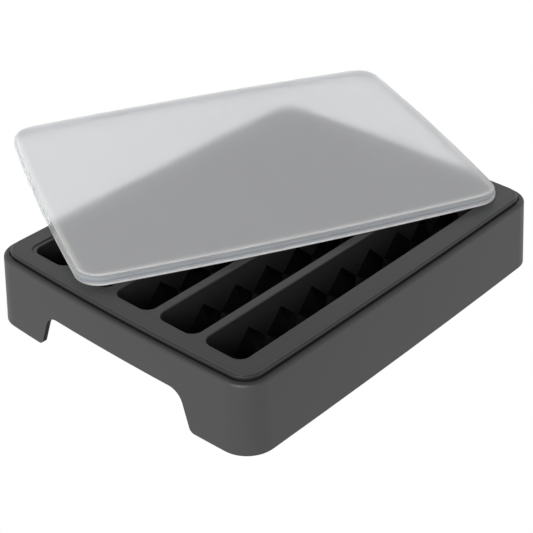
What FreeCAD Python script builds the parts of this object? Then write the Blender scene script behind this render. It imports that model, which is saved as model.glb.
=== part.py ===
import FreeCAD, Part
import math
import os

import Sketcher
from FreeCAD import Vector

# An ice stick tray in three pieces: a drafted stand, open underneath, with a
# finger gap in each short side; a soft mould whose rim drops into the stand and
# whose five troughs have faceted sides; and a translucent lid with a stepped
# skirt, which lies askew on the mould's rim.
#
# The origin is the centre of the stand's foot, on the surface it stands on.
# +X runs along the tray, +Y across it and +Z up. Lengths are in millimetres
# and angles in degrees.

SIZES = {
    # Foot of the stand, before its sides bow outward
    "base_length": 200.0,
    "base_width": 157.8,
    "base_corner": 13.9,
    "bow_sides": 0.95,
    "bow_ends": 2.2,
    # Wall of the stand
    "wall_draft": 3.9,
    "base_height": 33.1,
    "base_wall": 2.4,
    "base_edge": 1.5,
    # Ledge inside the stand that carries the mould's flange
    "ledge_thick": 1.8,
    "ledge_reach": 3.6,
    # Finger gap in each short side
    "finger_height": 17.1,
    "finger_top": 83.0,
    "finger_foot": 96.4,
    "finger_corner": 8.0,
    "finger_toe": 3.0,
    # Flange of the mould, with a thin lip that overhangs the stand's edge
    "rim_stand": 2.0,
    "flange_thick": 3.2,
    "seat_gap": 0.3,
    "lip_drop": 0.7,
    "lip_thick": 0.8,
    "lip_overhang": 1.0,
    "lip_width": 1.05,
    "rim_edge": 0.25,
    # Shallow field around the mouths
    "field_depth": 0.5,
    "field_end_margin": 1.4,
    "field_side_margin": 2.0,
    "field_corner": 6.0,
    # Troughs, and the plain borders between the rim's outside and the mouths
    "border_ends": 10.0,
    "border_sides": 11.74,
    "mouth_corner": 5.0,
    "mouth_edge": 0.5,
    "trough_count": 5,
    "rib_width": 4.3,
    "trough_depth": 24.0,
    "trough_draft": 3.0,
    "trough_wall": 1.6,
    "floor_width": 9.0,
    # Facets: a row of wedges that lean into each trough from both long sides
    "facet_count": 9,
    "facet_overrun": 5.6,
    "facet_top": 8.0,
    "bevel_top": 17.5,
    # Lid: how far it reaches past the stand's top edge, and its stepped section
    "lid_reach_ends": 1.73,
    "lid_reach_sides": 0.9,
    "lid_bow_sides": 2.75,
    "lid_bow_ends": 2.2,
    "lid_corner": 12.0,
    "lid_height": 4.9,
    "lid_lip_height": 1.5,
    "lid_band_top": 3.8,
    "lid_step": 0.5,
    "lid_wall": 1.1,
    "lid_panel": 1.1,
    "lid_edge": 0.8,
    # Where the lid lies on the rim
    "lid_shift_x": 29.3,
    "lid_shift_y": 43.3,
    "lid_turn": -27.4,
}

# Sizes that follow from the ones above
DERIVED = {
    "half_length": "=base_length / 2 + bow_ends",
    "half_width": "=base_width / 2 + bow_sides",
    "side_arc": "=base_length^2 / (8 * bow_sides) + bow_sides / 2",
    "end_arc": "=base_width^2 / (8 * bow_ends) + bow_ends / 2",
    "lean": "=tan(wall_draft)",
    "top_inset": "=base_height * lean",
    "rebate_inset": "=top_inset + base_wall",
    "window_inset": "=rebate_inset + ledge_reach",
    "neck_inset": "=rebate_inset + seat_gap",
    "lip_inset": "=neck_inset - lip_overhang",
    "rim_inset": "=lip_inset + lip_width",
    "rim_height": "=base_height + rim_stand",
    "ledge_top": "=rim_height - flange_thick",
    "ledge_under": "=ledge_top - ledge_thick",
    "lip_top": "=rim_height - lip_drop",
    "lip_under": "=lip_top - lip_thick",
    "mouth_length": "=2 * (half_length - rim_inset - border_ends)",
    "mouth_band": "=2 * (half_width - rim_inset - border_sides)",
    "mouth_width": "=(mouth_band + rib_width) / trough_count - rib_width",
    "pitch": "=mouth_width + rib_width",
    "field_length": "=mouth_length + 2 * field_end_margin",
    "field_width": "=mouth_band + 2 * field_side_margin",
    "wall_at_facets": "=mouth_width / 2 - facet_top * tan(trough_draft)",
    "wall_at_bevel": "=mouth_width / 2 - bevel_top * tan(trough_draft)",
    "facet_slope": "=(wall_at_facets - floor_width / 2) / (trough_depth - facet_top)",
    "bevel_slope": "=(wall_at_bevel - floor_width / 2) / (trough_depth - bevel_top)",
    "facet_pitch": "=(mouth_length + facet_overrun) / facet_count",
    "facet_rise": "=facet_slope * (bevel_top - facet_top) - wall_at_facets + wall_at_bevel",
    "facet_fall": "=facet_rise / facet_slope",
    "facet_root": "=rim_height - facet_top - wall_at_facets / facet_slope",
    "floor_level": "=rim_height - trough_depth",
    "field_level": "=rim_height - field_depth",
    "bevel_skin": "=trough_wall * sqrt(1 + bevel_slope^2)",
    "skin_bevel_drop": "=(bevel_skin - trough_wall) / (bevel_slope - tan(trough_draft))",
    "skin_bevel_level": "=rim_height - bevel_top - skin_bevel_drop",
    "skin_at_bevel": "=wall_at_bevel + trough_wall - skin_bevel_drop * tan(trough_draft)",
    "skin_floor": "=floor_width / 2 + bevel_skin - trough_wall * bevel_slope",
    "lid_half_length": "=half_length - top_inset + lid_reach_ends",
    "lid_half_width": "=half_width - top_inset + lid_reach_sides",
    "lid_side_arc": "=lid_half_length^2 / (2 * lid_bow_sides) + lid_bow_sides / 2",
    "lid_end_arc": "=lid_half_width^2 / (2 * lid_bow_ends) + lid_bow_ends / 2",
}

# A sketch's own axes, and the points of a line or an arc in it, by number
HORIZONTAL_AXIS_INDEX = -1
VERTICAL_AXIS_INDEX = -2
START_INDEX = 1
END_INDEX = 2
CENTRE_INDEX = 3


def make_sheet(doc):
    """Put the driving sizes and the derived ones into a spreadsheet."""
    sheet = doc.addObject("Spreadsheet::Sheet", "Sizes")
    rows = list(SIZES.items()) + list(DERIVED.items())
    for row, (name, content) in enumerate(rows, start=1):
        sheet.set(f"A{row}", name.replace("_", " "))
        sheet.set(f"B{row}", str(content))
        sheet.setAlias(f"B{row}", name)
    doc.recompute()
    return sheet


def new_body(doc, label):
    """Add an empty body that carries the sub-part's name."""
    body = doc.addObject("PartDesign::Body", label)
    body.Label = label
    return body


def origin_feature(body, role):
    """Find a plane or an axis of the body's own origin."""
    for feature in body.Origin.OriginFeatures:
        if feature.Role == role:
            return feature
    raise ValueError(f"{body.Label} has no {role}")


def new_sketch(body, name, plane_role, level=None):
    """Add a sketch on one of the body's origin planes, raised to a level."""
    sketch = body.newObject("Sketcher::SketchObject", name)
    sketch.AttachmentSupport = [(origin_feature(body, plane_role), "")]
    sketch.MapMode = "FlatFace"
    if level is not None:
        sketch.setExpression("AttachmentOffset.Base.z", level)
    return sketch


def constrain(sketch, name, formula, *reference):
    """Add a dimension to the sketch and tie it to the sheet."""
    value = float(sketch.evalExpression(formula))
    index = sketch.addConstraint(Sketcher.Constraint(*reference, value))
    sketch.renameConstraint(index, name)
    sketch.setExpression(f"Constraints.{name}", formula)


def meeting_point(first_radius, first_y, second_radius, second_x):
    """Where two circles centred on the Y and X axes cross in the first quadrant."""
    apart = math.hypot(first_y, second_x)
    along = (first_radius**2 - second_radius**2 + apart**2) / (2 * apart)
    across = math.sqrt(first_radius**2 - along**2)
    unit = Vector(second_x / apart, -first_y / apart, 0)
    foot = Vector(0, first_y, 0) + unit * along
    return foot + Vector(unit.y, -unit.x, 0) * across


def bowed_outline(sketch, half_x, half_y, side_arc, end_arc, corner):
    """Draw a rounded rectangle whose four sides are long arcs that bow outward.

    Each argument is a formula. side_arc and end_arc are the radii of the long
    and the short sides, and corner is the radius between them.
    """
    reach_x = float(sketch.evalExpression(half_x))
    reach_y = float(sketch.evalExpression(half_y))
    long_radius = float(sketch.evalExpression(side_arc))
    short_radius = float(sketch.evalExpression(end_arc))
    radius = float(sketch.evalExpression(corner))

    side_y = reach_y - long_radius
    end_x = reach_x - short_radius
    turn = meeting_point(long_radius - radius, side_y, short_radius - radius, end_x)
    low = math.atan2(turn.y, turn.x - end_x)
    high = math.atan2(turn.y - side_y, turn.x)

    quarter = math.pi / 2
    up = Vector(0, 0, 1)
    arcs = []
    for flip_x, flip_y, first in ((1, 1, 0), (-1, 1, 1), (-1, -1, 2), (1, -1, 3)):
        if first % 2 == 0:
            centre, size, half = Vector(flip_x * end_x, 0, 0), short_radius, low
        else:
            centre, size, half = Vector(0, flip_y * side_y, 0), long_radius, quarter - high
        middle = first * quarter
        arcs.append((centre, size, middle - half, middle + half))
        if first % 2 == 0:
            start, stop = middle + low, middle + high
        else:
            start, stop = middle + quarter - high, middle + quarter - low
        corner_x = turn.x if first in (0, 3) else -turn.x
        corner_y = turn.y if first in (0, 1) else -turn.y
        arcs.append((Vector(corner_x, corner_y, 0), radius, start, stop))
    for centre, size, start, stop in arcs:
        sketch.addGeometry(Part.ArcOfCircle(Part.Circle(centre, up, size), start, stop), False)

    right, top, left, bottom = 0, 2, 4, 6
    corners = (1, 3, 5, 7)
    for index in range(8):
        after = (index + 1) % 8
        sketch.addConstraint(Sketcher.Constraint("Tangent", index, END_INDEX, after, START_INDEX))
    for index in corners[1:]:
        sketch.addConstraint(Sketcher.Constraint("Equal", corners[0], index))
    sketch.addConstraint(Sketcher.Constraint("Equal", right, left))
    sketch.addConstraint(Sketcher.Constraint("Equal", top, bottom))
    for index in (right, left):
        sketch.addConstraint(Sketcher.Constraint("PointOnObject", index, CENTRE_INDEX, HORIZONTAL_AXIS_INDEX))
    for index in (top, bottom):
        sketch.addConstraint(Sketcher.Constraint("PointOnObject", index, CENTRE_INDEX, VERTICAL_AXIS_INDEX))
    origin = (HORIZONTAL_AXIS_INDEX, START_INDEX)
    constrain(sketch, "corner_radius", corner, "Radius", corners[0])
    constrain(sketch, "end_radius", end_arc, "Radius", right)
    constrain(sketch, "side_radius", side_arc, "Radius", top)
    across = f"({end_arc}) - ({half_x})"
    along = f"({side_arc}) - ({half_y})"
    constrain(sketch, "right_centre", across, "DistanceX", right, CENTRE_INDEX, *origin)
    constrain(sketch, "left_centre", across, "DistanceX", *origin, left, CENTRE_INDEX)
    constrain(sketch, "top_centre", along, "DistanceY", top, CENTRE_INDEX, *origin)
    constrain(sketch, "bottom_centre", along, "DistanceY", *origin, bottom, CENTRE_INDEX)


def base_outline(sketch, inset):
    """The stand's foot outline, moved inward by a formula."""
    bowed_outline(
        sketch,
        f"Sizes.half_length - ({inset})",
        f"Sizes.half_width - ({inset})",
        f"Sizes.side_arc - ({inset})",
        f"Sizes.end_arc - ({inset})",
        f"Sizes.base_corner - ({inset})",
    )


def lid_outline(sketch, inset):
    """The lid's lip outline, moved inward by a formula."""
    bowed_outline(
        sketch,
        f"Sizes.lid_half_length - ({inset})",
        f"Sizes.lid_half_width - ({inset})",
        f"Sizes.lid_side_arc - ({inset})",
        f"Sizes.lid_end_arc - ({inset})",
        f"Sizes.lid_corner - ({inset})",
    )


def rounded_rectangle(sketch, length, width, corner):
    """Draw a rectangle with four equal round corners, centred on the origin."""
    reach_x = float(sketch.evalExpression(length)) / 2
    reach_y = float(sketch.evalExpression(width)) / 2
    radius = float(sketch.evalExpression(corner))
    up = Vector(0, 0, 1)
    inner_x = reach_x - radius
    inner_y = reach_y - radius
    ends = [
        (Vector(reach_x, -inner_y, 0), Vector(reach_x, inner_y, 0)),
        (Vector(inner_x, reach_y, 0), Vector(-inner_x, reach_y, 0)),
        (Vector(-reach_x, inner_y, 0), Vector(-reach_x, -inner_y, 0)),
        (Vector(-inner_x, -reach_y, 0), Vector(inner_x, -reach_y, 0)),
    ]
    centres = [
        Vector(inner_x, inner_y, 0),
        Vector(-inner_x, inner_y, 0),
        Vector(-inner_x, -inner_y, 0),
        Vector(inner_x, -inner_y, 0),
    ]
    quarter = math.pi / 2
    for turn, ((start, stop), centre) in enumerate(zip(ends, centres)):
        sketch.addGeometry(Part.LineSegment(start, stop), False)
        circle = Part.Circle(centre, up, radius)
        arc = Part.ArcOfCircle(circle, turn * quarter, (turn + 1) * quarter)
        sketch.addGeometry(arc, False)

    right, top, left, bottom = 0, 2, 4, 6
    for index in range(8):
        after = (index + 1) % 8
        sketch.addConstraint(Sketcher.Constraint("Tangent", index, END_INDEX, after, START_INDEX))
    for index in range(3, 8, 2):
        sketch.addConstraint(Sketcher.Constraint("Equal", 1, index))
    origin = (HORIZONTAL_AXIS_INDEX, START_INDEX)
    for index in (right, left):
        sketch.addConstraint(Sketcher.Constraint("Vertical", index))
    for index in (top, bottom):
        sketch.addConstraint(Sketcher.Constraint("Horizontal", index))
    constrain(sketch, "corner_radius", corner, "Radius", 1)
    constrain(sketch, "right_reach", f"({length}) / 2", "DistanceX", *origin, right, START_INDEX)
    constrain(sketch, "left_reach", f"({length}) / 2", "DistanceX", left, START_INDEX, *origin)
    constrain(sketch, "top_reach", f"({width}) / 2", "DistanceY", *origin, top, START_INDEX)
    constrain(sketch, "bottom_reach", f"({width}) / 2", "DistanceY", bottom, START_INDEX, *origin)


def closed_profile(sketch, points):
    """Draw a closed profile whose corners each have two formulas."""
    places = []
    for across, up in points:
        x = float(sketch.evalExpression(across))
        y = float(sketch.evalExpression(up))
        places.append(Vector(x, y, 0))
    count = len(places)
    for index in range(count):
        line = Part.LineSegment(places[index], places[(index + 1) % count])
        sketch.addGeometry(line, False)
    for index in range(count):
        after = (index + 1) % count
        sketch.addConstraint(Sketcher.Constraint("Coincident", index, END_INDEX, after, START_INDEX))
    origin = (HORIZONTAL_AXIS_INDEX, START_INDEX)
    for index, (across, up) in enumerate(points):
        constrain(sketch, f"across_{index}", across, "DistanceX", *origin, index, START_INDEX)
        constrain(sketch, f"up_{index}", up, "DistanceY", *origin, index, START_INDEX)


def mirrored(points):
    """A profile's corners with the same ones again across the vertical axis."""
    return points + [(f"-({across})", up) for across, up in reversed(points)]


def pad(body, name, sketch, length, taper=None):
    """Raise a sketch into the body's solid, with an optional inward lean."""
    feature = body.newObject("PartDesign::Pad", name)
    feature.Profile = sketch
    feature.setExpression("Length", length)
    if taper is not None:
        feature.setExpression("TaperAngle", f"-({taper})")
    sketch.Visibility = False
    body.Document.recompute()
    return feature


def pocket(body, name, sketch, length, taper=None, upward=False, both_ways=False):
    """Cut a sketch out of the body's solid, and see that it takes some away."""
    before = body.Shape.Volume
    feature = body.newObject("PartDesign::Pocket", name)
    feature.Profile = sketch
    feature.Reversed = upward
    if both_ways:
        feature.SideType = "Symmetric"
    feature.setExpression("Length", length)
    if taper is not None:
        feature.setExpression("TaperAngle", f"-({taper})")
    sketch.Visibility = False
    body.Document.recompute()
    if body.Shape.Volume >= before:
        raise ValueError(f"{name} cuts nothing from {body.Label}")
    return feature


def level_faces(shape, level):
    """The shape's flat faces that lie at one height."""
    found = []
    for face in shape.Faces:
        box = face.BoundBox
        if abs(box.ZMin - level) < 1e-4 and abs(box.ZMax - level) < 1e-4:
            found.append(face)
    return found


def outer_loop(face):
    """The edges round the outside of a face."""
    return face.OuterWire.Edges


def inner_loops(face):
    """The edges round the holes of a face."""
    holes = [wire for wire in face.Wires if not wire.isSame(face.OuterWire)]
    return [edge for wire in holes for edge in wire.Edges]


def all_loops(face):
    """Every edge of a face."""
    return face.Edges


def loops_at(body, level, loops):
    """Edges that bound the flat faces of the body's solid at one height."""
    height = float(body.evalExpression(level))
    return [edge for face in level_faces(body.Shape, height) for edge in loops(face)]


def edges_along(body, across, up):
    """Edges that run along the tray at one distance from its middle and one height."""
    distance = float(body.evalExpression(across))
    height = float(body.evalExpression(up))
    found = []
    for edge in body.Shape.Edges:
        first, last = (edge.Vertexes[0].Point, edge.Vertexes[-1].Point)
        at_height = abs(first.z - height) < 1e-4 and abs(last.z - height) < 1e-4
        if at_height and abs(abs(first.y) - distance) < 1e-4 and abs(first.y - last.y) < 1e-4:
            found.append(edge)
    return found


def dress_edges(body, name, kind, size, wanted):
    """Put a feature that works on edges, Fillet or Chamfer, on some of the body's edges."""
    names = []
    for number, edge in enumerate(body.Shape.Edges, start=1):
        if any(edge.isSame(other) for other in wanted):
            names.append(f"Edge{number}")
    if not names:
        raise ValueError(f"{name} found no edge on {body.Label}")
    base = body.Tip
    feature = body.newObject(f"PartDesign::{kind}", name)
    feature.Base = (base, names)
    feature.setExpression("Radius" if kind == "Fillet" else "Size", size)
    body.Document.recompute()


def round_edges(body, name, radius, wanted):
    """Round some edges of the body's solid."""
    dress_edges(body, name, "Fillet", radius, wanted)


def bevel_edges(body, name, size, wanted):
    """Bevel some edges of the body's solid."""
    dress_edges(body, name, "Chamfer", size, wanted)


def make_base_stand(doc):
    """The stand: a drafted wall, open underneath, with a ledge near its top."""
    body = new_body(doc, "base_stand")

    foot = new_sketch(body, "foot_outline", "XY_Plane")
    base_outline(foot, "0")
    pad(body, "outer_wall", foot, "Sizes.base_height", "Sizes.wall_draft")

    hollow = new_sketch(body, "hollow_outline", "XY_Plane")
    base_outline(hollow, "Sizes.base_wall")
    pocket(body, "hollow", hollow, "Sizes.ledge_under", "Sizes.wall_draft", upward=True)

    window = new_sketch(body, "window_outline", "XY_Plane")
    base_outline(window, "Sizes.window_inset")
    pocket(body, "window", window, "Sizes.rim_height", upward=True)

    rebate = new_sketch(body, "rebate_outline", "XY_Plane", "Sizes.base_height")
    base_outline(rebate, "Sizes.rebate_inset")
    pocket(body, "rebate", rebate, "Sizes.base_height - Sizes.ledge_top")

    gap = new_sketch(body, "finger_gap_outline", "YZ_Plane")
    finger_gap_outline(gap)
    pocket(body, "finger_gaps", gap, "4 * Sizes.half_length", both_ways=True)

    heads = edges_along(body, "Sizes.finger_top / 2", "Sizes.finger_height")
    round_edges(body, "finger_gap_heads", "Sizes.finger_corner", heads)
    toes = edges_along(body, "Sizes.finger_foot / 2", "0")
    round_edges(body, "finger_gap_toes", "Sizes.finger_toe", toes)

    rim = loops_at(body, "Sizes.base_height", outer_loop)
    round_edges(body, "top_edge", "Sizes.base_edge", rim)
    return body


def finger_gap_outline(sketch):
    """A finger gap seen along the tray. It is wider at the foot."""
    closed_profile(sketch, mirrored([
        ("Sizes.finger_foot / 2", "0"),
        ("Sizes.finger_top / 2", "Sizes.finger_height"),
    ]))


def make_mould_block(doc):
    """The mould before its troughs are hollowed: flange, lip, rim and skins."""
    body = new_body(doc, "mould_block")
    steps = (
        ("neck", "Sizes.neck_inset", "Sizes.ledge_top", "Sizes.lip_under"),
        ("lip", "Sizes.lip_inset", "Sizes.lip_under", "Sizes.lip_top"),
        ("rim", "Sizes.rim_inset", "Sizes.lip_top", "Sizes.rim_height"),
    )
    for name, inset, low, high in steps:
        outline = new_sketch(body, f"{name}_outline", "XY_Plane", low)
        base_outline(outline, inset)
        pad(body, name, outline, f"{high} - {low}")

    field = new_sketch(body, "field_outline", "XY_Plane", "Sizes.rim_height")
    rounded_rectangle(field, "Sizes.field_length", "Sizes.field_width", "Sizes.field_corner")
    pocket(body, "field", field, "Sizes.field_depth")

    section = new_sketch(body, "skin_section", "YZ_Plane")
    skin_section(section)
    skin = pad(body, "trough_skin", section, "Sizes.mouth_length + 2 * Sizes.trough_wall")
    skin.SideType = "Symmetric"
    pattern = body.newObject("PartDesign::LinearPattern", "trough_skins")
    pattern.Originals = [skin]
    pattern.Direction = (origin_feature(body, "Y_Axis"), [""])
    pattern.setExpression("Occurrences", "Sizes.trough_count")
    pattern.setExpression("Length", "(Sizes.trough_count - 1) * Sizes.pitch")
    body.Tip = pattern
    doc.recompute()
    return body


def skin_section(sketch):
    """Outside of the first trough seen along the tray."""
    middle = "(1 - Sizes.trough_count) / 2 * Sizes.pitch"
    corners = mirrored([
        ("Sizes.skin_floor", "Sizes.floor_level - Sizes.trough_wall"),
        ("Sizes.skin_at_bevel", "Sizes.skin_bevel_level"),
        ("Sizes.mouth_width / 2 + Sizes.trough_wall", "Sizes.lip_under"),
    ])
    closed_profile(sketch, [(f"{middle} + ({across})", up) for across, up in corners])


def make_trough_void(doc, sheet):
    """The space inside one trough, with facets that lean in from both sides."""
    body = new_body(doc, "trough_void")
    mouth = new_sketch(body, "mouth_outline", "XY_Plane", "Sizes.rim_height")
    rounded_rectangle(mouth, "Sizes.mouth_length", "Sizes.mouth_width", "Sizes.mouth_corner")
    prism = pad(body, "prism", mouth, "Sizes.trough_depth", "Sizes.trough_draft")
    prism.Reversed = True
    doc.recompute()

    bevel = new_sketch(body, "bevel_section", "YZ_Plane")
    spare = "Sizes.trough_wall"
    closed_profile(bevel, [
        (f"Sizes.floor_width / 2 - {spare} * Sizes.bevel_slope", f"Sizes.floor_level - {spare}"),
        (f"Sizes.mouth_width / 2", f"Sizes.floor_level - {spare}"),
        ("Sizes.mouth_width / 2",
         "Sizes.floor_level + (Sizes.mouth_width - Sizes.floor_width) / 2 / Sizes.bevel_slope"),
    ])
    bevel_cut = pocket(body, "bevel", bevel, "2 * Sizes.mouth_length", both_ways=True)

    zigzag = new_sketch(body, "facet_zigzag", "XZ_Plane")
    facet_zigzag(zigzag, int(sheet.get("facet_count")))
    before = body.Shape.Volume
    facets = body.newObject("PartDesign::Pocket", "facets")
    facets.Profile = zigzag
    facets.UseCustomVector = True
    facets.AlongSketchNormal = False
    facets.Direction = Vector(0, float(sheet.get("facet_slope")), 1)
    facets.setExpression("Direction.y", "Sizes.facet_slope")
    facets.setExpression(
        "Length", "Sizes.mouth_width / Sizes.facet_slope * sqrt(1 + Sizes.facet_slope^2)"
    )
    zigzag.Visibility = False
    doc.recompute()
    if body.Shape.Volume >= before:
        raise ValueError("the facets cut nothing from the trough")

    other_side = body.newObject("PartDesign::Mirrored", "other_side")
    other_side.Originals = [bevel_cut, facets]
    other_side.MirrorPlane = (origin_feature(body, "XZ_Plane"), [""])
    body.Tip = other_side
    doc.recompute()
    return body


def facet_zigzag(sketch, count):
    """The facets' zigzag where it crosses the trough's middle plane.

    It is drawn from below the trough, with one peak under each facet.
    """
    reach = f"{count} * Sizes.facet_pitch / 2"
    low = "Sizes.facet_root - Sizes.mouth_width / Sizes.facet_slope"
    dip = "Sizes.facet_root - Sizes.facet_fall"
    points = [(f"-({reach})", low), (reach, low), (reach, dip)]
    for number in range(count - 1, -1, -1):
        peak = f"({number} - ({count} - 1) / 2) * Sizes.facet_pitch"
        points.append((peak, "Sizes.facet_root"))
        points.append((f"{peak} - Sizes.facet_pitch / 2", dip))
    closed_profile(sketch, points)


def make_ice_mould(doc, sheet):
    """The soft mould: its block less five trough voids, with soft edges."""
    block = make_mould_block(doc)
    void = make_trough_void(doc, sheet)
    copies = []
    for number in range(int(sheet.get("trough_count"))):
        copy = doc.addObject("App::Link", f"void_{number + 1}")
        copy.LinkedObject = void
        offset = f"({number} - (Sizes.trough_count - 1) / 2)"
        copy.setExpression("Placement.Base.y", f"{offset} * Sizes.pitch")
        copies.append(copy)
    doc.recompute()
    voids = doc.addObject("Part::Compound", "trough_voids")
    voids.Links = copies
    hollowed = doc.addObject("Part::Cut", "hollowed_block")
    hollowed.Base = block
    hollowed.Tool = voids
    doc.recompute()

    body = new_body(doc, "ice_mould")
    body.BaseFeature = hollowed
    doc.recompute()
    mouths = loops_at(body, "Sizes.field_level", inner_loops)
    round_edges(body, "mouth_edges", "Sizes.mouth_edge", mouths)
    rim = loops_at(body, "Sizes.rim_height", all_loops)
    bevel_edges(body, "rim_edges", "Sizes.rim_edge", rim)
    lip = loops_at(body, "Sizes.lip_top", outer_loop)
    bevel_edges(body, "lip_edge", "Sizes.rim_edge", lip)
    return body


def make_lid(doc):
    """The lid: a lip, a band and a cap, each a step in from the one below."""
    body = new_body(doc, "lid")
    steps = (
        ("lip", "0", "0", "Sizes.lid_lip_height"),
        ("band", "Sizes.lid_step", "Sizes.lid_lip_height", "Sizes.lid_band_top"),
        ("cap", "2 * Sizes.lid_step", "Sizes.lid_band_top", "Sizes.lid_height"),
    )
    for name, inset, low, high in steps:
        outline = new_sketch(body, f"{name}_outline", "XY_Plane", low)
        lid_outline(outline, inset)
        pad(body, name, outline, f"{high} - {low}")

    hollow = new_sketch(body, "hollow_outline", "XY_Plane")
    lid_outline(hollow, "2 * Sizes.lid_step + Sizes.lid_wall")
    pocket(body, "hollow", hollow, "Sizes.lid_height - Sizes.lid_panel", upward=True)

    top = loops_at(body, "Sizes.lid_height", outer_loop)
    round_edges(body, "top_edge", "Sizes.lid_edge", top)

    body.setExpression("Placement.Base.x", "Sizes.lid_shift_x")
    body.setExpression("Placement.Base.y", "Sizes.lid_shift_y")
    body.setExpression("Placement.Base.z", "Sizes.rim_height")
    body.setExpression("Placement.Rotation.Angle", "Sizes.lid_turn")
    return body


def check(doc, parts):
    """Stop if an object failed or a sub-part is not one sound solid."""
    for item in doc.Objects:
        if "Invalid" in item.State or "Error" in item.State:
            raise ValueError(f"{item.Label} did not build")
    for part in parts:
        shape = part.Shape
        if shape.isNull() or not shape.isValid() or len(shape.Solids) != 1:
            raise ValueError(f"{part.Label} is not one valid solid")


def main():
    os.makedirs("parts", exist_ok=True)
    doc = FreeCAD.newDocument("ice_stick_tray")
    sheet = make_sheet(doc)
    parts = [make_base_stand(doc), make_ice_mould(doc, sheet), make_lid(doc)]
    doc.recompute()
    check(doc, parts)
    for part in parts:
        part.Shape.exportStep(f"parts/{part.Label}.step")
        print(part.Label, round(part.Shape.Volume, 1), part.Shape.BoundBox)


main()
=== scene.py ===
import math

import bmesh
import bpy
from mathutils import Matrix
from bpy.props import (
    FloatProperty,
    FloatVectorProperty,
    PointerProperty,
)


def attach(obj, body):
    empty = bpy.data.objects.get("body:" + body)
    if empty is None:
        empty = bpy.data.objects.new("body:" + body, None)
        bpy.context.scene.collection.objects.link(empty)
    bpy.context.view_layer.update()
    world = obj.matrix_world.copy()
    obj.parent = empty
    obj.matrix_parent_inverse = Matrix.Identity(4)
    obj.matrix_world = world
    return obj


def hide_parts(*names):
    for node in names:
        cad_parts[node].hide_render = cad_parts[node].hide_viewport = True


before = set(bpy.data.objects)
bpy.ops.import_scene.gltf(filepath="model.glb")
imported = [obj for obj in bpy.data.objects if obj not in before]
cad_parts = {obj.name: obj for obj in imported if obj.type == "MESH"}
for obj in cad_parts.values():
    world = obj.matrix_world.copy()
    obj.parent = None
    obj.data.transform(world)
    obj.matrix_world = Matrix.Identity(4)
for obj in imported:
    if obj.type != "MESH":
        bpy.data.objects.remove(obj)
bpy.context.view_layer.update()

bl_info = {
    "name": "Ice Stick Tray",
    "version": (1, 0, 0),
    "blender": (4, 5, 0),
    "location": "View3D > Sidebar > Ice Tray",
    "description": "Finishes a stacked ice stick tray and sets it on a studio floor",
    "category": "Object",
}

# The stand's foot outline: its reach, the bow of its sides and its corners
HALF_LENGTH = 0.1022
HALF_WIDTH = 0.07985
END_BOW = 0.0022
SIDE_BOW = 0.00095
CORNER_RADIUS = 0.0139
CORNER_X = 0.08678
CORNER_Y = 0.06523

# The finger gaps in the stand's ends
GAP_REACH = 0.096
GAP_HEAD_WIDTH = 0.032
GAP_FOOT_WIDTH = 0.0515
GAP_HEIGHT = 0.0171

# The mould's rim, with its lip and the neck below it
LIP_LOW = 0.0336
LIP_HIGH = 0.0344
NECK_LOW = 0.0319
LIP_INSET = 0.003957
RIM_INSET = 0.005007
HALF_STEP = 0.0005
SLACK = 0.00005

# Where the lid lies: its place and turn on the mould's rim, and how tall it is
RIM_HEIGHT = 0.0351
LID_PLACE = (0.0293, 0.0433, RIM_HEIGHT)
LID_TURN = (0.0, 0.0, math.radians(-27.4))
LID_HEIGHT = 0.0049

# How far the gaps' sides at +Y and -Y move along Y, at their head and at their foot
GAP_MOVES = ((1.0, -0.0024, -0.0032), (-1.0, 0.0005, 0.00085))

# How far the lip, the rim and the neck are drawn in, and the lip's top is raised
LIP_MOVE = 0.00105
RIM_MOVE = 0.0007
LIP_RISE = 0.0003
LIP_REACH = 0.0065

# Outlines seen from above that the materials of the mould and the lid follow
RIM_OUTLINE = {
    "half_length": 0.0972,
    "half_width": 0.0748,
    "end_bow": END_BOW,
    "side_bow": SIDE_BOW,
    "corner": 0.008,
}
LID_OUTLINE = {
    "half_length": 0.1007,
    "half_width": 0.0775,
    "end_bow": 0.0022,
    "side_bow": 0.00275,
    "corner": 0.008,
}

# Colours that no setting changes
BLACK = (0.0, 0.0, 0.0, 1.0)
WHITE = (1.0, 1.0, 1.0, 1.0)
STREAK_COLOUR = (0.022, 0.022, 0.022, 1.0)
# Painted shade deep in the troughs' walls
PAINTED_TROUGH_SHADE = (0.001, 0.001, 0.001, 1.0)
# Painted shade in the lid's skirt grooves
GROOVE_SHADE_COLOUR = (0.46, 0.52, 0.6, 1.0)
# Painted glow on the lid's edges, standing in for light piped out of the sheet
PAINTED_GLOW_COLOUR = (1.0, 0.94, 0.82, 1.0)

# Where a mask starts and where it is full
# Where the painted shade on the finger gaps' cut faces lies
CUT_FACING = (0.8, 0.4)          # share of X in the normal, from wall to cut face
CUT_HALF_WIDTH = 0.06            # the cut faces lie nearer to the middle than this
# The troughs' painted shade: how far the facets lean, and the levels where it starts and where it
# is darkest
FACET_LEAN = (0.1, 0.25)         # share of Z in the normal, from plain wall to facet
TROUGH_TOP = 0.0335
TROUGH_FLOOR = 0.012
TROUGH_SINK = 0.003              # the facets start this far below the troughs' top
RIM_TOP = (RIM_HEIGHT - 0.0012, RIM_HEIGHT - 0.0006)
STREAK_LEVELS = (0.4, 0.65)      # level of the noise, from plain to streak
SKIRT_LEAN = (0.98, 0.6)         # share of Z in the normal, from panel to skirt
# The painted glow spreads onto the panel within this distance from the lid's edge
GLOW_MARGIN = (0.0032, 0.0012)    # distance from the lid's edge

# Painted light and shade on the lid's skirt: how pale it is, from its lip at 0 to its panel at 1;
# low levels darken towards the groove colour
SKIRT_LIGHT_LEVELS = (
    (0.0, 1.0), (0.16, 1.0), (0.24, 0.0), (0.42, 0.05), (0.48, 0.2),
    (0.7, 0.25), (0.76, 0.0), (0.82, 0.0), (0.88, 0.7), (1.0, 0.8),
)

# How fine the noise patterns are, in waves per metre
CLOUD_SCALE = 28.0
STREAK_SCALE = 1300.0

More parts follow.
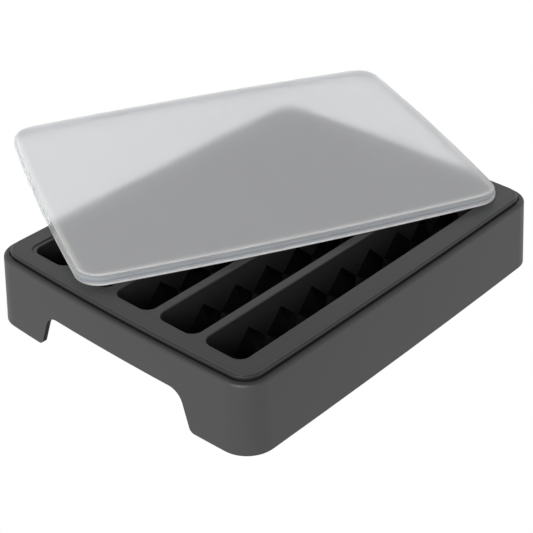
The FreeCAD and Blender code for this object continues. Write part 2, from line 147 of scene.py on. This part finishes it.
# The studio: height of the bright band's edge and of the dark part, the soft box, the camera
SKY_FADE = (0.5, 0.95)
SOFT_BOX_SIZE = 0.6
SOFT_BOX_PLACE = (-1.05, -0.4, 0.5)
SOFT_BOX_TURN = (0.0, math.radians(-67.0), math.radians(20.9))
SENSOR_WIDTH = 36.0
NEAREST_SEEN = 0.01
FARTHEST_SEEN = 50.0


class StandSettings(bpy.types.PropertyGroup):
    """Finish of the hard plastic stand."""

    colour: FloatVectorProperty(
        name="Colour",
        description="Colour of the stand's charcoal plastic",
        subtype="COLOR",
        size=4,
        min=0.0,
        max=1.0,
        default=(0.0235, 0.0237, 0.024, 1.0),
    )
    roughness: FloatProperty(
        name="Roughness",
        description="How matte the spark-eroded texture leaves the stand",
        subtype="FACTOR",
        min=0.0,
        max=1.0,
        default=0.5,
    )
    grain: FloatProperty(
        name="Grain",
        description="Size of one grain of the moulded texture",
        unit="LENGTH",
        min=0.0001,
        default=0.0004,
    )


class MouldSettings(bpy.types.PropertyGroup):
    """Finish of the soft mould."""

    colour: FloatVectorProperty(
        name="Colour",
        description="Colour of the mould's charcoal silicone",
        subtype="COLOR",
        size=4,
        min=0.0,
        max=1.0,
        default=(0.014, 0.014, 0.0142, 1.0),
    )
    roughness: FloatProperty(
        name="Roughness",
        description="How matte the silicone is",
        subtype="FACTOR",
        min=0.0,
        max=1.0,
        default=0.4,
    )


class LidSettings(bpy.types.PropertyGroup):
    """Finish of the frosted lid."""

    colour: FloatVectorProperty(
        name="Colour",
        description="Tint of the lid's translucent plastic",
        subtype="COLOR",
        size=4,
        min=0.0,
        max=1.0,
        default=(0.793, 0.798, 0.81, 1.0),
    )
    clarity: FloatProperty(
        name="Clarity",
        description="Share of the light that passes through and isn't scattered back",
        subtype="FACTOR",
        min=0.0,
        max=1.0,
        default=0.728,
    )
    frost: FloatProperty(
        name="Frost",
        description="How far the lid blurs what lies below it",
        subtype="FACTOR",
        min=0.0,
        max=1.0,
        default=0.5,
    )
    # Strength of the painted glow on the lid's skirt and panel margin
    painted_edge_glow: FloatProperty(
        name="Painted edge glow",
        description="How bright the painted glow is that stands in for light the sheet pipes to its edges",
        min=0.0,
        default=0.1,
    )


class StageSettings(bpy.types.PropertyGroup):
    """Floor, light and camera."""

    floor_size: FloatProperty(
        name="Floor size",
        description="Length of one side of the floor",
        unit="LENGTH",
        min=0.5,
        default=12.0,
    )
    floor_light: FloatProperty(
        name="Floor brightness",
        description="How bright the lit floor is",
        min=0.0,
        default=1.0,
    )
    horizon: FloatProperty(
        name="Horizon brightness",
        description="How bright the backdrop is near the floor",
        min=0.0,
        default=1.0,
    )
    zenith: FloatProperty(
        name="Overhead brightness",
        description="How bright the studio is straight above",
        min=0.0,
        default=0.12,
    )
    side_light: FloatProperty(
        name="Side light",
        description="Power of the soft box that stands to the camera's left, in watts",
        min=0.0,
        default=12.0,
    )
    camera_place: FloatVectorProperty(
        name="Camera place",
        description="Where the camera stands",
        subtype="TRANSLATION",
        unit="LENGTH",
        size=3,
        default=(-0.380874, -0.350849, 0.339694),
    )
    camera_turn: FloatVectorProperty(
        name="Camera turn",
        description="How the camera is turned about X, Y and Z",
        subtype="EULER",
        unit="ROTATION",
        size=3,
        default=(math.radians(57.5217), math.radians(1.0869), math.radians(-47.7761)),
    )
    focal_length: FloatProperty(
        name="Focal length",
        description="Focal length of the lens, in millimetres",
        min=10.0,
        default=89.27,
    )


class Nodes:
    """A node tree that is being put together."""

    def __init__(self, tree):
        self.tree = tree

    def node(self, kind, **values):
        """Add a node and set its properties."""
        made = self.tree.nodes.new(kind)
        for key, value in values.items():
            setattr(made, key, value)
        return made

    def feed(self, socket, source):
        """Link a source to a socket, or set the socket's number."""
        if isinstance(source, bpy.types.NodeSocket):
            self.tree.links.new(source, socket)
        else:
            socket.default_value = source

    def math(self, operation, *sources):
        """Work out one number from others."""
        made = self.node("ShaderNodeMath", operation=operation)
        for socket, source in zip(made.inputs, sources):
            self.feed(socket, source)
        return made.outputs[0]

    def fade(self, value, low, high, start=0.0, end=1.0):
        """Turn a range of a value smoothly into another range."""
        made = self.node("ShaderNodeMapRange", interpolation_type="SMOOTHSTEP")
        for name, source in zip(("Value", "From Min", "From Max", "To Min", "To Max"),
                                (value, low, high, start, end)):
            self.feed(made.inputs[name], source)
        return made.outputs["Result"]

    def noise(self, place, scale, detail, dimensions="3D"):
        """A noise pattern as a number around one half."""
        made = self.node("ShaderNodeTexNoise", noise_dimensions=dimensions)
        self.feed(made.inputs["W" if dimensions == "1D" else "Vector"], place)
        self.feed(made.inputs["Scale"], scale)
        made.inputs["Detail"].default_value = detail
        return made.outputs["Fac"]

    def blend(self, share, first, second):
        """Mix two colours."""
        made = self.node("ShaderNodeMix", data_type="RGBA")
        colours = [socket for socket in made.inputs if socket.type == "RGBA"]
        self.feed(made.inputs[0], share)
        self.feed(colours[0], first)
        self.feed(colours[1], second)
        return next(socket for socket in made.outputs if socket.type == "RGBA")

    def add_group(self, tree, **sources):
        """Use a node group. The names of its inputs have spaces for underscores."""
        made = self.node("ShaderNodeGroup", node_tree=tree)
        for name, source in sources.items():
            self.feed(made.inputs[name.replace("_", " ").title()], source)
        return made.outputs


class Material(Nodes):
    """A node material that is being put together."""

    def __init__(self, name):
        self.data = bpy.data.materials.new(name)
        self.data.use_nodes = True
        super().__init__(self.data.node_tree)
        self.shader = self.tree.nodes["Principled BSDF"]

    def shade(self, **sources):
        """Feed the shader's inputs. Their names have spaces for underscores."""
        for name, source in sources.items():
            self.feed(self.shader.inputs[name.replace("_", " ")], source)

    def place(self):
        """The place on the piece, in metres."""
        return self.node("ShaderNodeTexCoord").outputs["Object"]


SOCKETS = {
    "value": "NodeSocketFloat",
    "vector": "NodeSocketVector",
    "colour": "NodeSocketColor",
}


def new_group(name, inputs, outputs):
    """Start a node group. Inputs and outputs are pairs of a name and a kind."""
    tree = bpy.data.node_groups.new(name, "ShaderNodeTree")
    for side, sockets in (("INPUT", inputs), ("OUTPUT", outputs)):
        for label, kind in sockets:
            tree.interface.new_socket(label, in_out=side, socket_type=SOCKETS[kind])
    nodes = Nodes(tree)
    inside = nodes.node("NodeGroupInput").outputs
    outside = nodes.node("NodeGroupOutput").inputs
    return nodes, inside, outside


def once(name, build):
    """Find a node group by name, or build it."""
    return bpy.data.node_groups.get(name) or build(name)


def finish_node(name, material):
    """Give a solid of the frame its finished material."""
    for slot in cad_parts[name].material_slots:
        slot.material = material.data


def refined_copy(context, name, label, material, refine):
    """A piece that stands for a solid: its mesh again, with small forms refined."""
    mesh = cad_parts[name].data.copy()
    mesh.name = label
    shape = bmesh.new()
    shape.from_mesh(mesh)
    refine(shape)
    shape.to_mesh(mesh)
    shape.free()
    mesh.materials.clear()
    mesh.materials.append(material.data)
    piece = bpy.data.objects.new(label, mesh)
    context.scene.collection.objects.link(piece)
    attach(piece, "root")
    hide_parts(name)
    return piece


def wanted(shape, test):
    """The vertices of a shape whose place passes a test."""
    found = [vertex for vertex in shape.verts if test(vertex.co)]
    if not found:
        raise ValueError("a refinement found nothing to move")
    return found


def inset(place):
    """How far a place lies inside the stand's foot outline, seen from above."""
    x, y = abs(place.x), abs(place.y)
    if x > CORNER_X and y > CORNER_Y:
        return CORNER_RADIUS - math.hypot(x - CORNER_X, y - CORNER_Y)
    end_gap = HALF_LENGTH - x - END_BOW * (y / HALF_WIDTH) ** 2
    side_gap = HALF_WIDTH - y - SIDE_BOW * (x / HALF_LENGTH) ** 2
    return min(end_gap, side_gap)


def refine_stand(shape):
    """Narrow the finger gaps on their far side, as the photographed ones are."""
    for end in (-1.0, 1.0):
        for side, head_move, foot_move in GAP_MOVES:
            moved = wanted(shape, lambda place: (
                end * place.x > GAP_REACH
                and GAP_HEAD_WIDTH < side * place.y < GAP_FOOT_WIDTH
                and place.z < GAP_HEIGHT + SLACK
            ))
            shear = Matrix.Identity(4)
            shear[1][2] = (head_move - foot_move) / GAP_HEIGHT
            shear[1][3] = foot_move
            bmesh.ops.transform(shape, matrix=shear, verts=moved)


def refine_mould(shape):
    """Draw in the rim, its lip and the neck below, and thin the step between them."""
    lip = wanted(shape, lambda place: LIP_LOW - SLACK < place.z < LIP_HIGH + SLACK
                 and inset(place) < LIP_INSET + HALF_STEP)
    rim = wanted(shape, lambda place: place.z > LIP_HIGH - SLACK
                 and LIP_INSET + HALF_STEP < inset(place) < RIM_INSET + HALF_STEP)
    neck = wanted(shape, lambda place: NECK_LOW - SLACK < place.z < LIP_LOW + SLACK
                  and LIP_INSET + HALF_STEP < inset(place) < RIM_INSET + HALF_STEP)
    for ring, start, move in (
        (lip, LIP_INSET, LIP_MOVE),
        (rim, RIM_INSET, RIM_MOVE),
        (neck, RIM_INSET, RIM_MOVE),
    ):
        factors = [1.0 - move / (reach - start) for reach in (HALF_LENGTH, HALF_WIDTH)]
        bmesh.ops.scale(shape, vec=(*factors, 1.0), verts=ring)
    top = wanted(shape, lambda place: abs(place.z - LIP_HIGH) < LIP_RISE
                 and inset(place) < LIP_REACH)
    bmesh.ops.translate(shape, vec=(0.0, 0.0, LIP_RISE), verts=top)


def grain_group(name):
    """A fine moulded grain: a bump, and the slight unevenness of its sheen."""
    nodes, inside, outside = new_group(
        name,
        (("Place", "vector"), ("Grain Size", "value"), ("Depth", "value"),
         ("Sheen", "value"), ("Unevenness", "value")),
        (("Roughness", "value"), ("Normal", "vector")),
    )
    scale = nodes.math("DIVIDE", 1.0, inside["Grain Size"])
    grain = nodes.noise(inside["Place"], scale, 2.0)
    bump = nodes.node("ShaderNodeBump")
    bump.inputs["Strength"].default_value = 0.5
    nodes.feed(bump.inputs["Distance"], inside["Depth"])
    nodes.feed(bump.inputs["Height"], grain)
    cloud = nodes.math("SUBTRACT", nodes.noise(inside["Place"], CLOUD_SCALE, 4.0), 0.5)
    sheen = nodes.math("MULTIPLY_ADD", cloud, inside["Unevenness"], inside["Sheen"])
    nodes.feed(outside["Roughness"], sheen)
    nodes.feed(outside["Normal"], bump.outputs["Normal"])
    return nodes.tree


def cut_face_shade_group(name):
    """A mask of the finger gaps' cut faces, where painted shade darkens the stand to black, as
    these faces stand in shade near the floor.
    """
    nodes, inside, outside = new_group(
        name,
        (("Place", "vector"), ("Normal", "vector"), ("Half Width", "value"), ("Height", "value")),
        (("Mask", "value"),),
    )
    place = nodes.node("ShaderNodeSeparateXYZ")
    nodes.feed(place.inputs[0], inside["Place"])
    facing = nodes.node("ShaderNodeSeparateXYZ")
    nodes.feed(facing.inputs[0], inside["Normal"])
    cut = nodes.fade(nodes.math("ABSOLUTE", facing.outputs["X"]), *CUT_FACING)
    across = nodes.math("ABSOLUTE", place.outputs["Y"])
    near = nodes.math("LESS_THAN", across, inside["Half Width"])
    low = nodes.math("LESS_THAN", place.outputs["Z"], inside["Height"])
    mask = nodes.math("MULTIPLY", nodes.math("MULTIPLY", near, low), cut)
    nodes.feed(outside["Mask"], mask)
    return nodes.tree


def trough_shade_group(name):
    """Painted shade down the troughs: the colour darkens down the plain walls, and the facets are
    darkest.
    """
    nodes, inside, outside = new_group(
        name,
        (("Level", "value"), ("Lean", "value"), ("Top", "value"), ("Floor", "value"),
         ("Colour", "colour"), ("Shade", "colour"), ("Sheen", "value")),
        (("Color", "colour"), ("Roughness", "value")),
    )
    below = nodes.math("SUBTRACT", inside["Top"], TROUGH_SINK)
    sunk = nodes.fade(inside["Level"], inside["Top"], below)
    facet = nodes.math("MULTIPLY", nodes.fade(inside["Lean"], *FACET_LEAN), sunk)
    depth = nodes.fade(inside["Level"], inside["Top"], inside["Floor"], 0.0, 0.6)
    share = nodes.math("MAXIMUM", facet, depth)
    nodes.feed(outside["Color"], nodes.blend(share, inside["Colour"], inside["Shade"]))
    sheen = nodes.math("MULTIPLY_ADD", facet, -0.22, inside["Sheen"])
    nodes.feed(outside["Roughness"], sheen)
    return nodes.tree


def outline_group(name):
    """How far a place lies inside a bowed rectangle seen from above."""
    nodes, inside, outside = new_group(
        name,
        (("Place", "vector"), ("Half Length", "value"), ("Half Width", "value"),
         ("End Bow", "value"), ("Side Bow", "value"), ("Corner", "value")),
        (("Distance", "value"),),
    )
    split = nodes.node("ShaderNodeSeparateXYZ")
    nodes.feed(split.inputs[0], inside["Place"])
    along = nodes.math("ABSOLUTE", split.outputs["X"])
    across = nodes.math("ABSOLUTE", split.outputs["Y"])
    gaps = []
    for near, near_reach, far, far_reach, bow in (
        (along, inside["Half Length"], across, inside["Half Width"], inside["End Bow"]),
        (across, inside["Half Width"], along, inside["Half Length"], inside["Side Bow"]),
    ):
        share = nodes.math("DIVIDE", far, far_reach)
        sag = nodes.math("MULTIPLY", nodes.math("MULTIPLY", share, share), bow)
        gap = nodes.math("SUBTRACT", near_reach, near)
        gaps.append(nodes.math("SUBTRACT", gap, sag))
    nodes.feed(outside["Distance"], nodes.math("SMOOTH_MIN", *gaps, inside["Corner"]))
    return nodes.tree


def streak_group(name):
    """Faint flow lines that run along the rim: an unevenness of colour and sheen."""
    nodes, inside, outside = new_group(
        name,
        (("Distance", "value"), ("Top", "value"), ("Colour", "colour"), ("Sheen", "value")),
        (("Color", "colour"), ("Roughness", "value")),
    )
    lines = nodes.noise(inside["Distance"], STREAK_SCALE, 2.0, "1D")
    share = nodes.math("MULTIPLY", nodes.fade(lines, *STREAK_LEVELS), inside["Top"])
    nodes.feed(outside["Color"], nodes.blend(share, inside["Colour"], STREAK_COLOUR))
    sheen = nodes.math("MULTIPLY_ADD", share, -0.05, inside["Sheen"])
    nodes.feed(outside["Roughness"], sheen)
    return nodes.tree


def skirt_light_group(name):
    """Painted light and shade on the edges of a translucent lid: a glow that stands in for light
    piped out of the sheet, and painted shade in the grooves.
    """
    nodes, inside, outside = new_group(
        name,
        (("Distance", "value"), ("Height", "value"), ("Upright", "value"),
         ("Colour", "colour"), ("Glow", "value")),
        (("Color", "colour"), ("Emission", "colour")),
    )
    ramp = nodes.node("ShaderNodeValToRGB")
    nodes.feed(ramp.inputs[0], inside["Height"])
    stops = ramp.color_ramp.elements
    stops.remove(stops[1])
    first = stops[0]
    for place, level in SKIRT_LIGHT_LEVELS:
        stop = stops.new(place) if place > 0.0 else first
        stop.position = place
        stop.color = (level, level, level, 1.0)
    skirt = nodes.math("MULTIPLY", ramp.outputs["Color"], inside["Upright"])
    margin = nodes.fade(inside["Distance"], *GLOW_MARGIN)
    flat = nodes.math("SUBTRACT", 1.0, inside["Upright"])
    light = nodes.math("MULTIPLY_ADD", nodes.math("MULTIPLY", margin, flat), 0.7, skirt)
    # Painted shade: the grooves darken towards the groove colour
    shade = nodes.math("MULTIPLY", inside["Upright"], nodes.fade(ramp.outputs["Color"], 0.3, 0.0))
    nodes.feed(outside["Color"], nodes.blend(shade, inside["Colour"], GROOVE_SHADE_COLOUR))
    glow = nodes.math("MULTIPLY", light, inside["Glow"])
    nodes.feed(outside["Emission"], nodes.blend(glow, BLACK, PAINTED_GLOW_COLOUR))
    return nodes.tree


class ICETRAY_OT_finish_stand(bpy.types.Operator):
    """Give the stand its charcoal plastic with a fine moulded grain, and painted shade on the
    finger gaps' cut faces
    """

    bl_idname = "icetray.finish_stand"
    bl_label = "Finish Stand"

    def execute(self, context):
        settings = context.scene.ice_tray_stand
        plastic = Material("charcoal plastic")
        place = plastic.place()
        cut_face_shade = plastic.add_group(
            once("cut faces", cut_face_shade_group),
            place=place,
            normal=plastic.node("ShaderNodeNewGeometry").outputs["Normal"],
            half_width=CUT_HALF_WIDTH,
            height=GAP_HEIGHT + HALF_STEP,
        )
        grain = plastic.add_group(
            once("moulded grain", grain_group),
            place=place,
            grain_size=settings.grain,
            depth=0.00003,
            sheen=settings.roughness,
            unevenness=0.06,
        )
        # Painted shade: the finger gaps' cut faces are darkened to black and made more matte
        plastic.shade(
            Base_Color=plastic.blend(cut_face_shade["Mask"], settings.colour, BLACK),
            Roughness=plastic.math("MULTIPLY_ADD", cut_face_shade["Mask"], 0.45, grain["Roughness"]),
            Normal=grain["Normal"],
        )
        refined_copy(context, "base_stand", "stand", plastic, refine_stand)
        return {"FINISHED"}


class ICETRAY_OT_finish_mould(bpy.types.Operator):
    """Give the mould its charcoal silicone, with painted shade in its troughs"""

    bl_idname = "icetray.finish_mould"
    bl_label = "Finish Mould"

    def execute(self, context):
        settings = context.scene.ice_tray_mould
        silicone = Material("charcoal silicone")
        place = silicone.place()
        rim = silicone.add_group(
            once("inside an outline", outline_group),
            place=place,
            **RIM_OUTLINE,
        )
        level = silicone.node("ShaderNodeSeparateXYZ")
        silicone.feed(level.inputs[0], place)
        facing = silicone.node("ShaderNodeSeparateXYZ")
        silicone.feed(facing.inputs[0], silicone.node("ShaderNodeNewGeometry").outputs["Normal"])
        # Painted shade: the trough walls darken with depth and the facets are darkest
        troughs = silicone.add_group(
            once("painted shade in the troughs", trough_shade_group),
            level=level.outputs["Z"],
            lean=facing.outputs["Z"],
            top=TROUGH_TOP,
            floor=TROUGH_FLOOR,
            colour=settings.colour,
            shade=PAINTED_TROUGH_SHADE,
            sheen=settings.roughness,
        )
        streaks = silicone.add_group(
            once("flow lines", streak_group),
            distance=rim["Distance"],
            top=silicone.fade(level.outputs["Z"], *RIM_TOP),
            colour=troughs["Color"],
            sheen=troughs["Roughness"],
        )
        grain = silicone.add_group(
            once("moulded grain", grain_group),
            place=place,
            grain_size=0.0003,
            depth=0.00002,
            sheen=streaks["Roughness"],
            unevenness=0.05,
        )
        silicone.shade(
            Base_Color=streaks["Color"],
            Roughness=grain["Roughness"],
            Normal=grain["Normal"],
            IOR=1.5,
        )
        refined_copy(context, "ice_mould", "mould", silicone, refine_mould)
        return {"FINISHED"}


class ICETRAY_OT_finish_lid(bpy.types.Operator):
    """Give the lid its frosted translucent plastic, with a painted glow and painted groove shade
    on its edges
    """

    bl_idname = "icetray.finish_lid"
    bl_label = "Finish Lid"

    def execute(self, context):
        settings = context.scene.ice_tray_lid
        frosted = Material("frosted plastic")
        place = frosted.place()
        turned = frosted.node("ShaderNodeMapping", vector_type="TEXTURE")
        turned.inputs["Location"].default_value = LID_PLACE
        turned.inputs["Rotation"].default_value = LID_TURN
        frosted.feed(turned.inputs["Vector"], place)
        edge = frosted.add_group(
            once("inside an outline", outline_group),
            place=turned.outputs["Vector"],
            **LID_OUTLINE,
        )
        split = frosted.node("ShaderNodeSeparateXYZ")
        frosted.feed(split.inputs[0], turned.outputs["Vector"])
        normal = frosted.node("ShaderNodeSeparateXYZ")
        frosted.feed(normal.inputs[0], frosted.node("ShaderNodeNewGeometry").outputs["Normal"])
        steepness = frosted.math("ABSOLUTE", normal.outputs["Z"])
        # Painted light and shade on the skirt: paler bands and a glow by emission, and darker
        # grooves
        skirt = frosted.add_group(
            once("painted light on lid edges", skirt_light_group),
            distance=edge["Distance"],
            height=frosted.math("DIVIDE", split.outputs["Z"], LID_HEIGHT),
            upright=frosted.fade(steepness, *SKIRT_LEAN),
            colour=settings.colour,
            glow=settings.painted_edge_glow,
        )
        grain = frosted.add_group(
            once("moulded grain", grain_group),
            place=place,
            grain_size=0.0003,
            depth=0.00001,
            sheen=settings.frost,
            unevenness=0.04,
        )
        frosted.shade(
            Base_Color=skirt["Color"],
            Emission_Color=skirt["Emission"],
            Emission_Strength=1.0,
            Transmission_Weight=settings.clarity,
            IOR=1.2,
            Roughness=grain["Roughness"],
            Normal=grain["Normal"],
        )
        finish_node("lid", frosted)
        return {"FINISHED"}


class ICETRAY_OT_set_stage(bpy.types.Operator):
    """Add the lit floor, the studio light and the camera"""

    bl_idname = "icetray.set_stage"
    bl_label = "Set Stage"

    def execute(self, context):
        settings = context.scene.ice_tray_stage
        add_floor(context, settings)
        light_studio(context, settings)
        add_soft_box(context, settings)
        add_camera(context, settings)
        return {"FINISHED"}


def add_floor(context, settings):
    """A plain white floor, lit evenly from within as a light table is."""
    mesh = bpy.data.meshes.new("floor")
    shape = bmesh.new()
    bmesh.ops.create_grid(shape, x_segments=1, y_segments=1, size=settings.floor_size / 2)
    shape.to_mesh(mesh)
    shape.free()
    floor = bpy.data.objects.new("floor", mesh)
    context.scene.collection.objects.link(floor)
    glow = Material("white floor")
    glow.shade(
        Base_Color=BLACK,
        Specular_IOR_Level=0.0,
        Emission_Color=WHITE,
        Emission_Strength=settings.floor_light,
    )
    mesh.materials.append(glow.data)


def light_studio(context, settings):
    """A white room that is brightest near the floor."""
    world = context.scene.world or bpy.data.worlds.new("studio")
    context.scene.world = world
    world.use_nodes = True
    nodes = Nodes(world.node_tree)
    backdrop = world.node_tree.nodes["Background"]
    split = nodes.node("ShaderNodeSeparateXYZ")
    nodes.feed(split.inputs[0], nodes.node("ShaderNodeTexCoord").outputs["Generated"])
    strength = nodes.fade(split.outputs["Z"], *SKY_FADE, settings.horizon, settings.zenith)
    nodes.feed(backdrop.inputs["Strength"], strength)
    backdrop.inputs["Color"].default_value = WHITE


def add_soft_box(context, settings):
    """A large soft light that shines along the troughs."""
    data = bpy.data.lights.new("soft box", "AREA")
    data.shape = "SQUARE"
    data.size = SOFT_BOX_SIZE
    data.energy = settings.side_light
    lamp = bpy.data.objects.new("soft box", data)
    lamp.location = SOFT_BOX_PLACE
    lamp.rotation_euler = SOFT_BOX_TURN
    context.scene.collection.objects.link(lamp)


def add_camera(context, settings):
    """The camera, where the photographer stood."""
    data = bpy.data.cameras.new("camera")
    data.lens = settings.focal_length
    data.sensor_width = SENSOR_WIDTH
    data.clip_start = NEAREST_SEEN
    data.clip_end = FARTHEST_SEEN
    camera = bpy.data.objects.new("camera", data)
    camera.location = settings.camera_place
    camera.rotation_euler = settings.camera_turn
    context.scene.collection.objects.link(camera)
    context.scene.camera = camera
    context.scene.view_settings.view_transform = "Standard"


class ICETRAY_PT_panel(bpy.types.Panel):
    """The tray's finishes and its stage"""

    bl_label = "Ice Tray"
    bl_idname = "ICETRAY_PT_panel"
    bl_space_type = "VIEW_3D"
    bl_region_type = "UI"
    bl_category = "Ice Tray"

    def draw(self, context):
        for name, operator in STEPS:
            box = self.layout.box()
            settings = getattr(context.scene, name)
            for key in settings.__annotations__:
                box.prop(settings, key)
            box.operator(operator)


STEPS = (
    ("ice_tray_stand", "icetray.finish_stand"),
    ("ice_tray_mould", "icetray.finish_mould"),
    ("ice_tray_lid", "icetray.finish_lid"),
    ("ice_tray_stage", "icetray.set_stage"),
)

SETTINGS = {
    "ice_tray_stand": StandSettings,
    "ice_tray_mould": MouldSettings,
    "ice_tray_lid": LidSettings,
    "ice_tray_stage": StageSettings,
}

CLASSES = (
    *SETTINGS.values(),
    ICETRAY_OT_finish_stand,
    ICETRAY_OT_finish_mould,
    ICETRAY_OT_finish_lid,
    ICETRAY_OT_set_stage,
    ICETRAY_PT_panel,
)


def register():
    for item in CLASSES:
        bpy.utils.register_class(item)
    for name, group in SETTINGS.items():
        setattr(bpy.types.Scene, name, PointerProperty(type=group))


def unregister():
    for name in SETTINGS:
        delattr(bpy.types.Scene, name)
    for item in reversed(CLASSES):
        bpy.utils.unregister_class(item)


def main():
    register()
    for _, operator in STEPS:
        group, action = operator.split(".")
        getattr(getattr(bpy.ops, group), action)()
    bpy.context.view_layer.update()


if __name__ == "__main__":
    main()
